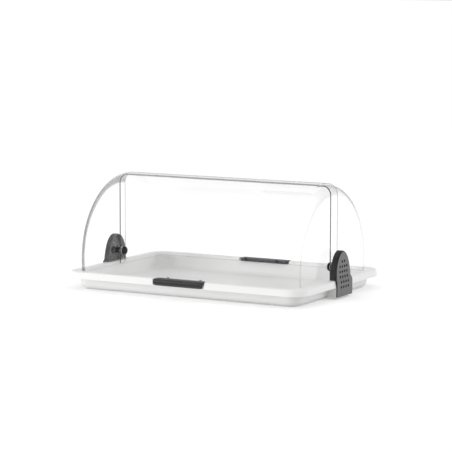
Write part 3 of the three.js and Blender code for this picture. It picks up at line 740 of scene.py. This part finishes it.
def make_grip(name, side, barrel, facing):
    """Draw the section out along the case, drawn in at both ends as a quarter round."""
    points, back, lip_in = grip_section(barrel)
    heights = [height for _, height in points]
    middle = (max(heights) + min(heights)) / 2
    half_height = (max(heights) - min(heights)) / 2
    stations = []
    for i in range(grip_end_steps + 1):
        turn = math.radians(90.0) * i / grip_end_steps
        stations.append(grip_end_round * (1 - math.cos(turn)))
    near_end = -grip_length / 2
    far_end = grip_length / 2 - grip_far_end_short
    places = [near_end + s for s in stations] + [far_end - s for s in reversed(stations)]
    bm = bmesh.new()
    face = bm.faces.new([bm.verts.new((0.0, -out, height)) for out, height in points])
    for i, place in enumerate(places):
        if i:
            drawn = bmesh.ops.extrude_face_region(bm, geom=[face])["geom"]
            face = [part for part in drawn if isinstance(part, bmesh.types.BMFace)][0]
        to_round = grip_end_round - min(place - near_end, far_end - place, grip_end_round)
        drawn_in = 1 - math.sqrt(max(1 - (to_round / grip_end_round) ** 2, 0.0))
        squeeze = 1 - drawn_in * grip_end_squeeze / half_height
        lip_share = 1 - (1 - grip_end_lip_share) * drawn_in
        for vert, (out, height) in zip(face.verts, points):
            height = middle + (height - middle) * squeeze
            if out > lip_in:
                out = lip_in + (out - lip_in) * lip_share
            elif out < back:
                out = math.sqrt(back ** 2 - height ** 2)
            out += max(lip_in - out, 0.0) * drawn_in * grip_end_back_pull
            vert.co = Vector((place, -out, height))
    bmesh.ops.recalc_face_normals(bm, faces=bm.faces)
    bmesh.ops.translate(bm, verts=bm.verts, vec=(0.0, 0.0, pivot_height))
    if facing < 0:
        turned_half_round(bm)
    grip = add_piece(name, bm, [grip_plastic], f"{side}_lid", [f"{side}_handle"],
        sharp=38.0)
    round_edges(grip, grip_edge_round, angle=50.0)


grip_plastic = moulded_material("grip_plastic", (0.04, 0.04, 0.042), mottle=0.25,
    roughness=0.42, spread=0.1, clouds=40.0, grain=1600.0, height=0.00003)
make_grip("front_grip", "front", barrel=cover_radius, facing=1)
make_grip("rear_grip", "rear", barrel=cover_radius - cover_step, facing=-1)

# Brackets: dark moulded arches that stand on the rim over the lugs, hollow towards the covers, with
# rows of air holes, a hub for the pivot and two screw bosses. Their outer and inner faces are
# grained and painted lighter as painted light, and the air holes are painted near black as painted
# shade.
arch_half_width = 0.0355
arch_top = 0.1016
arch_spring = 0.044
arch_inner_face = 0.279
arch_outer_face = 0.2925
arch_wall = 0.0025
arch_steps = 96
arch_face_round = 0.0035
arch_face_steps = 5
waist_height = 0.062
waist_offset = 0.0005
knee_height = 0.046
knee_offset = 0.0015
plate_half_width = 0.0365
plate_back = 0.2945
plate_face = 0.2968
plate_start = 0.036
plate_bottom = 0.0045
plate_corner_round = 0.002
plate_corner_steps = 6
rim_seat_steps = 6
air_hole_radius = 0.0024
air_hole_pitch = 0.0109
air_hole_first_row = 0.0245
air_hole_blind_depth = 0.0019
air_hole_mouth = 0.0029
air_hole_rows = (4, 4, 4, 4, 4, 2)
air_hole_steps = 20
air_hole_overrun = 0.002
hub_radius = 0.009
hub_bore = 0.0048
hub_face = 0.284
hub_sunk = 0.0002
hub_steps = 48
boss_radius = 0.004
boss_bore = 0.002
boss_height = 0.0125
boss_inset = 0.009
boss_spacing = 0.048
boss_steps = 32
bracket_edge_round = 0.0007
hole_shade_mask_slack = 0.00003
grained_lit_facing = 0.9
flat_within = math.radians(0.5)
cutter_overrun = 0.01
cutter_half_width = 0.05


def slab(outline, axis, low, high):
    """A prism drawn along X or Y from an outline in the other two directions."""
    bm = bmesh.new()
    if axis == "X":
        corners = [bm.verts.new((low, across, up)) for across, up in outline]
    else:
        corners = [bm.verts.new((across, low, up)) for across, up in outline]
    face = bm.faces.new(corners)
    drawn = bmesh.ops.extrude_face_region(bm, geom=[face])["geom"]
    risen = [part for part in drawn if isinstance(part, bmesh.types.BMVert)]
    way = (high - low, 0.0, 0.0) if axis == "X" else (0.0, high - low, 0.0)
    bmesh.ops.translate(bm, verts=risen, vec=way)
    bmesh.ops.recalc_face_normals(bm, faces=bm.faces)
    return bm


def arch_curve(half_width, top):
    """Points on the arch from one springing over the crown to the other, as (across, up)."""
    points = []
    for i in range(arch_steps + 1):
        angle = math.pi * i / arch_steps
        up = arch_spring + (top - arch_spring) * math.sin(angle)
        points.append((half_width * math.cos(angle), up))
    return points


def cut_away(bm, cutter):
    """Cut one solid out of another. What is left is a new bmesh, and both old ones are freed."""
    solids = []
    for name, solid in (("kept", bm), ("cutter", cutter)):
        mesh = bpy.data.meshes.new(name)
        solid.to_mesh(mesh)
        solid.free()
        solids.append(bpy.data.objects.new(name, mesh))
        bpy.context.scene.collection.objects.link(solids[-1])
    kept, tool = solids
    cut = kept.modifiers.new("cut", "BOOLEAN")
    cut.operation = "DIFFERENCE"
    cut.solver = "EXACT"
    cut.object = tool
    depsgraph = bpy.context.evaluated_depsgraph_get()
    left = bmesh.new()
    left.from_object(kept, depsgraph)
    for solid in solids:
        mesh = solid.data
        bpy.data.objects.remove(solid)
        bpy.data.meshes.remove(mesh)
    bmesh.ops.remove_doubles(left, verts=left.verts, dist=weld_distance)
    bmesh.ops.dissolve_limit(left, angle_limit=flat_within, verts=left.verts, edges=left.edges)
    return left


def tube(axis, low, high, bore, radius, place, steps):
    """A plain tube along X or Z, spun from its wall's section."""
    bm = bmesh.new()
    wall = [(bore, low), (radius, low), (radius, high), (bore, high)]
    chain = [bm.verts.new((r, 0.0, z)) for r, z in wall]
    for first, second in zip(chain, chain[1:] + chain[:1]):
        bm.edges.new((first, second))
    bmesh.ops.spin(bm, geom=bm.verts[:] + bm.edges[:], cent=(0.0, 0.0, 0.0), axis=(0.0, 0.0, 1.0),
        angle=math.radians(360.0), steps=steps, use_merge=True)
    bmesh.ops.remove_doubles(bm, verts=bm.verts, dist=weld_distance)
    bmesh.ops.recalc_face_normals(bm, faces=bm.faces)
    if axis == "X":
        quarter_turn = Matrix.Rotation(math.radians(90.0), 3, "Y")
        bmesh.ops.rotate(bm, verts=bm.verts, cent=(0.0, 0.0, 0.0), matrix=quarter_turn)
    bmesh.ops.translate(bm, verts=bm.verts, vec=place)
    return bm


def face_reach(height):
    """How far out the bracket's face stands at a height: plate, knee, waist and crown."""
    bends = ((plate_start, plate_face), (knee_height, arch_outer_face + knee_offset),
        (waist_height, arch_outer_face + waist_offset), (arch_top, arch_outer_face))
    if height <= plate_start:
        return plate_face
    for (low, start), (high, end) in zip(bends, bends[1:]):
        if height <= high:
            return start + (end - start) * (height - low) / (high - low)
    return arch_outer_face


def bracket_block():
    """Arch and plate in one block, its outer edge rounded, leaned back above the plate."""
    outline = [(-plate_half_width, plate_bottom), (plate_half_width, plate_bottom),
        (plate_half_width, knee_height)]
    arch = arch_curve(arch_half_width, arch_top)
    outline += [(across, up) for across, up in arch if up > knee_height]
    outline.append((-plate_half_width, knee_height))
    bm = slab(outline, "X", arch_inner_face, plate_face)
    foot_edges = [edge for edge in bm.edges
        if abs(edge.verts[0].co.x - edge.verts[1].co.x) > arch_outer_face - arch_inner_face
        and edge.verts[0].co.z < plate_bottom + level_slack]
    bmesh.ops.bevel(bm, geom=foot_edges, offset=plate_corner_round, offset_type="OFFSET",
        segments=plate_corner_steps, profile=0.5, affect="EDGES", material=-1)
    crown_edges = [edge for edge in bm.edges if min(vert.co.x for vert in edge.verts) > plate_back
        and max(vert.co.z for vert in edge.verts) > knee_height + level_slack]
    bmesh.ops.bevel(bm, geom=crown_edges, offset=arch_face_round, offset_type="OFFSET",
        segments=arch_face_steps, profile=0.5, affect="EDGES", material=-1)
    for height in (plate_start, knee_height, waist_height):
        cut_across(bm, (0.0, 0.0, height), (0.0, 0.0, 1.0))
    for vert in bm.verts:
        if vert.co.x > arch_outer_face - arch_wall:
            vert.co.x -= plate_face - face_reach(vert.co.z)
    return bm


def rim_under_bracket(foot):
    """The space that the rim and the lug take up under the bracket, as (outward, up) points."""
    edge = rim_length / 2 - rim_edge_round
    reach = rim_edge_round + seat_gap
    points = [(arch_inner_face - cutter_overrun, foot)]
    for i in range(rim_seat_steps + 1):
        angle = math.radians(90.0) * (1 - i / rim_seat_steps)
        up = rim_height - rim_edge_round + reach * math.sin(angle)
        points.append((edge + reach * math.cos(angle), up))
    points += [(plate_back, skirt_bottom), (plate_back, 0.0)]
    return points + [(arch_inner_face - cutter_overrun, 0.0)]


def air_hole_places():
    """The middle of every air hole, as (across, up) points."""
    places = []
    for row, count in enumerate(air_hole_rows):
        for column in range(count):
            across = (column - (count - 1) / 2) * air_hole_pitch
            places.append((across, air_hole_first_row + row * air_hole_pitch))
    return places


def air_hole_drills(foot):
    """Tapered drills for all air holes, short where the rim, the lug or the hub is behind."""
    drills = bmesh.new()
    turn = Matrix.Rotation(math.radians(90.0), 4, "Y")
    for across, height in air_hole_places():
        from_hub = math.hypot(across, height - pivot_height) - air_hole_radius
        depth = air_hole_blind_depth
        if height - air_hole_radius > foot + arch_wall and from_hub > hub_radius:
            depth = face_reach(height) - (arch_outer_face - arch_wall - air_hole_overrun)
        middle = Matrix.Translation((face_reach(height), across, height))
        bmesh.ops.create_cone(drills, cap_ends=True, segments=air_hole_steps,
            radius1=air_hole_radius, radius2=2 * air_hole_mouth - air_hole_radius,
            depth=2 * depth, matrix=middle @ turn)
    return drills


def finish_of(face):
    """Which finish a bracket's face has: 1 for the grained faces painted lighter as painted light,
    2 for the painted shade in the air holes, 0 elsewhere.
    """
    middle = face.calc_center_median()
    for across, height in air_hole_places():
        if math.hypot(middle.y - across, middle.z - height) < air_hole_mouth + hole_shade_mask_slack:
            return 2
    return 1 if abs(face.normal.x) > grained_lit_facing else 0


def make_bracket(side):
    """Cut the block to the rim, hollow it, drill it, and add its hub and bosses."""
    foot = rim_height + seat_gap
    block = cut_away(bracket_block(),
        slab(rim_under_bracket(foot), "Y", -cutter_half_width, cutter_half_width))
    hollow_half_width = arch_half_width - arch_wall
    hollow = [(-hollow_half_width, foot + arch_wall), (hollow_half_width, foot + arch_wall)]
    hollow += arch_curve(hollow_half_width, arch_top - arch_wall)
    block = cut_away(block,
        slab(hollow, "X", arch_inner_face - cutter_overrun, arch_outer_face - arch_wall))
    bm = cut_away(block, air_hole_drills(foot))
    add_mesh(bm, tube("X", hub_face, arch_outer_face - arch_wall + hub_sunk, hub_bore, hub_radius,
        (0.0, 0.0, pivot_height), hub_steps))
    for across in (-boss_spacing / 2, boss_spacing / 2):
        add_mesh(bm, tube("Z", foot + arch_wall / 2, foot + boss_height, boss_bore, boss_radius,
            (rim_length / 2 - boss_inset, across, 0.0), boss_steps))
    if side == "left":
        turned_half_round(bm)
    for face in bm.faces:
        face.material_index = finish_of(face)
    bracket = add_piece(f"{side}_arch", bm, [bracket_plastic, bracket_grain_and_painted_light, hole_painted_shade], "base",
        [f"{side}_bracket"], sharp=35.0)
    round_edges(bracket, bracket_edge_round, angle=50.0, segments=3)


bracket_plastic = moulded_material("bracket_plastic", (0.016, 0.016, 0.017), mottle=0.2,
    roughness=0.42, spread=0.1, clouds=30.0, grain=1400.0, height=0.00002)
# Outer and inner faces: the same black plastic with a coarser grain, painted lighter as painted
# light.
bracket_grain_and_painted_light = moulded_material("bracket_grain_and_painted_light", (0.16, 0.16, 0.162), mottle=0.2,
    roughness=0.55, spread=0.1, clouds=30.0, grain=1400.0, height=0.00004)
# Painted shade in the air holes: their walls and floors painted near black.
hole_painted_shade = moulded_material("hole_painted_shade", (0.004, 0.004, 0.004), mottle=0.2,
    roughness=0.6, spread=0.1, clouds=30.0, grain=1400.0, height=0.00002)
for side in ("right", "left"):
    make_bracket(side)

# Knobs: domed thumb knobs moulded in black plastic, with a bore that takes the stud's end. They
# are screwed on by hand inside the covers and keep the covers' end walls on the bushes.
knob_radius = 0.0097
knob_thickness = 0.0084
knob_rim_height = 0.0026
knob_edge_round = 0.0008
knob_bore = 0.0033
knob_bore_depth = 0.0053
knob_seat = 0.2619
knob_dome_steps = 14
knob_turns = 64
knob_shine = 0.25


def make_knob(side):
    """Spin the knob's section: bore, seat, rim and dome."""
    profile = [(0.0, knob_bore_depth), (knob_bore, knob_bore_depth), (knob_bore, 0.0),
        (knob_radius - knob_edge_round, 0.0), (knob_radius, knob_edge_round),
        (knob_radius, knob_rim_height)]
    dome_height = knob_thickness - knob_rim_height
    for i in range(1, knob_dome_steps):
        angle = math.radians(90.0) * i / knob_dome_steps
        up = knob_rim_height + dome_height * math.sin(angle)
        profile.append((knob_radius * math.cos(angle), up))
    profile.append((0.0, knob_thickness))
    bm = bmesh.new()
    chain = [bm.verts.new((-depth, 0.0, r)) for r, depth in profile]
    for first, second in zip(chain, chain[1:]):
        bm.edges.new((first, second))
    bmesh.ops.spin(bm, geom=bm.verts[:] + bm.edges[:], cent=(0.0, 0.0, 0.0), axis=(1.0, 0.0, 0.0),
        angle=math.radians(360.0), steps=knob_turns, use_merge=True)
    bmesh.ops.remove_doubles(bm, verts=bm.verts, dist=weld_distance)
    bmesh.ops.recalc_face_normals(bm, faces=bm.faces)
    bmesh.ops.translate(bm, verts=bm.verts, vec=(knob_seat, 0.0, pivot_height))
    if side == "left":
        turned_half_round(bm)
    add_piece(f"{side}_thumb_knob", bm, [knob_plastic], "base", [f"{side}_knob"],
        sharp=50.0)


knob_plastic = moulded_material("knob_plastic", (0.008, 0.008, 0.009), mottle=0.2,
    roughness=0.4, spread=0.08, clouds=60.0, grain=1800.0, height=0.00001)
shader = knob_plastic.node_tree.nodes["Principled BSDF"]
shader.inputs["Specular IOR Level"].default_value = knob_shine
for side in ("right", "left"):
    make_knob(side)

# Bushes and washers: turned nylon, which the covers run on, natural in the washers and black in the
# bushes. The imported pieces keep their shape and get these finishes.
natural_nylon = moulded_material("natural_nylon", (0.72, 0.72, 0.7), mottle=0.06,
    roughness=0.45, spread=0.06, clouds=80.0, grain=1500.0, height=0.00001)
black_nylon = moulded_material("black_nylon", (0.02, 0.02, 0.02), mottle=0.2,
    roughness=0.45, spread=0.06, clouds=80.0, grain=1500.0, height=0.00001)


def finish_nodes(names, material):
    """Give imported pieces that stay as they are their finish."""
    for name in names:
        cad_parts[name].data.materials.clear()
        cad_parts[name].data.materials.append(material)


for side in ("right", "left"):
    finish_nodes([f"{side}_pivot_bush"], black_nylon)
    finish_nodes([f"{side}_cover_washer", f"{side}_knob_washer"], natural_nylon)

# Screws, studs and inserts: zinc-plated steel, with inserts of turned brass. The rear handle's
# screws are blackened, because their heads face the front, where no bright ones show.
zinc = moulded_material("zinc_plate", (0.62, 0.63, 0.64), mottle=0.12,
    roughness=0.3, spread=0.12, clouds=200.0, grain=2500.0, height=0.00001)
turned_brass = moulded_material("turned_brass", (0.62, 0.46, 0.2), mottle=0.1,
    roughness=0.32, spread=0.1, clouds=200.0, grain=2500.0, height=0.00001)
for metal in (zinc, turned_brass):
    metal.node_tree.nodes["Principled BSDF"].inputs["Metallic"].default_value = 1.0
blackened = moulded_material("blackened_steel", (0.02, 0.02, 0.021), mottle=0.2,
    roughness=0.5, spread=0.1, clouds=200.0, grain=2500.0, height=0.00001)
for side in ("right", "left"):
    finish_nodes([f"{side}_bracket_screw_near", f"{side}_bracket_screw_far"], zinc)
    finish_nodes([f"{side}_pivot_stud"], zinc)
    finish_nodes([f"{side}_threaded_insert"], turned_brass)
finish_nodes(["front_handle_screw_1", "front_handle_screw_2"], zinc)
finish_nodes(["rear_handle_screw_1", "rear_handle_screw_2"], blackened)
